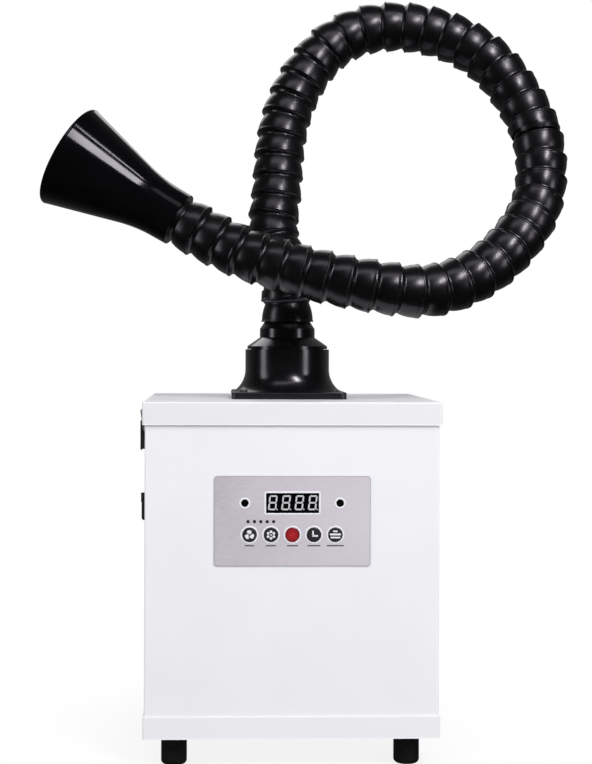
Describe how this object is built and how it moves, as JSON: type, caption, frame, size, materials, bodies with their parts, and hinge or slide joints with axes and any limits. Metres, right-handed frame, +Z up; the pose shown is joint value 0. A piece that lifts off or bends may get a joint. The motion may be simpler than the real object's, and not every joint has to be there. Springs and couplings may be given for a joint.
{
  "type": "fume extractor",
  "caption": "Bench fume extractor: a white sheet-steel filter cabinet with a front control panel, and a black ribbed self-holding hose that ends in a trumpet nozzle.",
  "frame": {"origin": "on the bench, under the middle of the cabinet", "axes": "+X right as seen by the user, +Y away from the user, +Z up"},
  "size_m": [0.5404, 0.2673, 0.7776],
  "materials": {
    "white_paint": "satin",
    "lid_paint": "satin",
    "foot_rubber": "matte",
    "zinc_steel": "satin",
    "black_screw": "satin",
    "panel_silver": "satin",
    "display_black": "gloss",
    "receiver_black": "gloss",
    "light_lens": "satin",
    "button_black": "satin",
    "button_red": "satin",
    "board_green": "satin",
    "switch_black": "satin",
    "filter_foam": "matte",
    "seal_foam": "matte",
    "carbon": "matte",
    "filter_paper": "matte",
    "prefilter_fibre": "matte",
    "frame_alloy": "satin",
    "inner_steel": "satin",
    "motor_black": "satin",
    "fan_plastic": "satin",
    "inlet_black": "satin",
    "supply_alloy": "satin",
    "fitting_black": "satin",
    "port_gloss": "gloss",
    "hose_black": "satin",
    "nozzle_gloss": "gloss"
  },
  "bodies": {
    "cabinet": {"base_tray": "white_paint", "rubber_feet": "foot_rubber", "foot_screws": "zinc_steel", "casing": "white_paint", "rear_panel": "white_paint", "rear_screws": "zinc_steel", "exhaust_foam": "filter_foam", "control_overlay": "panel_silver", "display_module": "display_black", "receiver_windows": "receiver_black", "speed_lights": "light_lens", "control_board": "board_green", "board_studs": "zinc_steel", "tact_switches": "switch_black", "filter_shelf": "inner_steel", "partition": "inner_steel", "filter_seal": "seal_foam", "carbon_tray": "frame_alloy", "carbon_bed": "carbon", "hepa_frame": "frame_alloy", "hepa_pleats": "filter_paper", "prefilter_pad": "prefilter_fibre", "fan_mount": "inner_steel", "fan_motor": "motor_black", "fan_inlet_ring": "fan_plastic", "power_inlet": "inlet_black", "inlet_pins": "zinc_steel", "power_supply": "supply_alloy", "latch_bases": "fitting_black", "handle_plates": "fitting_black"},
    "lid_assembly": {"lid": "lid_paint", "lid_gasket": "seal_foam", "latch_keepers": "zinc_steel", "port_flange": "port_gloss", "port_screws": "black_screw"},
    "swivel": {"swivel_cap": "port_gloss", "swivel_clip": "fan_plastic", "hose_span_01": "hose_black"},
    "arm_lower": {"hose_span_02": "hose_black", "hose_span_03": "hose_black", "hose_span_04": "hose_black", "hose_span_05": "hose_black"},
    "arm_upper": {"hose_span_06": "hose_black", "hose_span_07": "hose_black", "hose_span_08": "hose_black"},
    "nozzle": {"nozzle": "nozzle_gloss"},
    "fan_wheel": {"impeller": "fan_plastic", "fan_shaft": "zinc_steel"},
    "button_fan": {"button_fan": "button_black"},
    "button_mode": {"button_mode": "button_black"},
    "button_power": {"button_power": "button_red"},
    "button_timer": {"button_timer": "button_black"},
    "button_level": {"button_level": "button_black"},
    "power_rocker": {"power_rocker": "switch_black"},
    "latch_lever_left": {"latch_lever_left": "fitting_black"},
    "latch_bail_left": {"latch_bail_left": "zinc_steel"},
    "handle_left": {"handle_bail_left": "fitting_black"},
    "latch_lever_right": {"latch_lever_right": "fitting_black"},
    "latch_bail_right": {"latch_bail_right": "zinc_steel"},
    "handle_right": {"handle_bail_right": "fitting_black"}
  },
  "joints": [
    {"name": "lid_lift", "type": "slide", "parent": "cabinet", "child": "lid_assembly", "axis": [0, 0, 1], "range_m": [0, 0.06]},
    {"name": "hose_swivel", "type": "hinge", "parent": "lid_assembly", "child": "swivel", "pos_m": [0, 0, 0.4015], "axis": [0, 0, 1], "range_deg": [-170, 170]},
    {"name": "hose_lower_bend", "type": "hinge", "parent": "swivel", "child": "arm_lower", "pos_m": [-0.00376, 0.00354, 0.48264], "axis": [0, 1, 0], "range_deg": [-10, 10]},
    {"name": "hose_upper_bend", "type": "hinge", "parent": "arm_lower", "child": "arm_upper", "pos_m": [0.2629, -0.00273, 0.61409], "axis": [0, 1, 0], "range_deg": [-10, 10]},
    {"name": "nozzle_tilt", "type": "hinge", "parent": "arm_upper", "child": "nozzle", "pos_m": [-0.11697, -0.06197, 0.5338], "axis": [0, 1, 0], "range_deg": [-10, 10]},
    {"name": "fan_spin", "type": "hinge", "parent": "cabinet", "child": "fan_wheel", "pos_m": [0, 0.0119, 0.085], "axis": [0, 0, 1], "continuous": true},
    {"name": "button_fan_press", "type": "slide", "parent": "cabinet", "child": "button_fan", "axis": [0, 1, 0], "range_m": [0, 0.0006], "stiffness_N_per_m": 600},
    {"name": "button_mode_press", "type": "slide", "parent": "cabinet", "child": "button_mode", "axis": [0, 1, 0], "range_m": [0, 0.0006], "stiffness_N_per_m": 600},
    {"name": "button_power_press", "type": "slide", "parent": "cabinet", "child": "button_power", "axis": [0, 1, 0], "range_m": [0, 0.0006], "stiffness_N_per_m": 600},
    {"name": "button_timer_press", "type": "slide", "parent": "cabinet", "child": "button_timer", "axis": [0, 1, 0], "range_m": [0, 0.0006], "stiffness_N_per_m": 600},
    {"name": "button_level_press", "type": "slide", "parent": "cabinet", "child": "button_level", "axis": [0, 1, 0], "range_m": [0, 0.0006], "stiffness_N_per_m": 600},
    {"name": "power_switch", "type": "hinge", "parent": "cabinet", "child": "power_rocker", "pos_m": [0.108, 0.1305, 0.095], "axis": [-1, 0, 0], "range_deg": [0, 12]},
    {"name": "latch_left", "type": "hinge", "parent": "cabinet", "child": "latch_lever_left", "pos_m": [-0.1462, 0, 0.326], "axis": [0, 1, 0], "range_deg": [0, 95]},
    {"name": "latch_bail_left_swing", "type": "hinge", "parent": "latch_lever_left", "child": "latch_bail_left", "pos_m": [-0.1474, 0, 0.3175], "axis": [0, 1, 0], "range_deg": [-95, 0]},
    {"name": "handle_left_fold", "type": "hinge", "parent": "cabinet", "child": "handle_left", "pos_m": [-0.1458, 0, 0.252], "axis": [0, 1, 0], "range_deg": [0, 90]},
    {"name": "latch_right", "type": "hinge", "parent": "cabinet", "child": "latch_lever_right", "pos_m": [0.1462, 0, 0.326], "axis": [0, -1, 0], "range_deg": [0, 95]},
    {"name": "latch_bail_right_swing", "type": "hinge", "parent": "latch_lever_right", "child": "latch_bail_right", "pos_m": [0.1474, 0, 0.3175], "axis": [0, -1, 0], "range_deg": [-95, 0]},
    {"name": "handle_right_fold", "type": "hinge", "parent": "cabinet", "child": "handle_right", "pos_m": [0.1458, 0, 0.252], "axis": [0, -1, 0], "range_deg": [0, 90]}
  ],
  "couplings": [
    {"joint": "latch_bail_left_swing", "follows": "latch_left", "ratio": -1},
    {"joint": "latch_bail_right_swing", "follows": "latch_right", "ratio": -1}
  ]
}
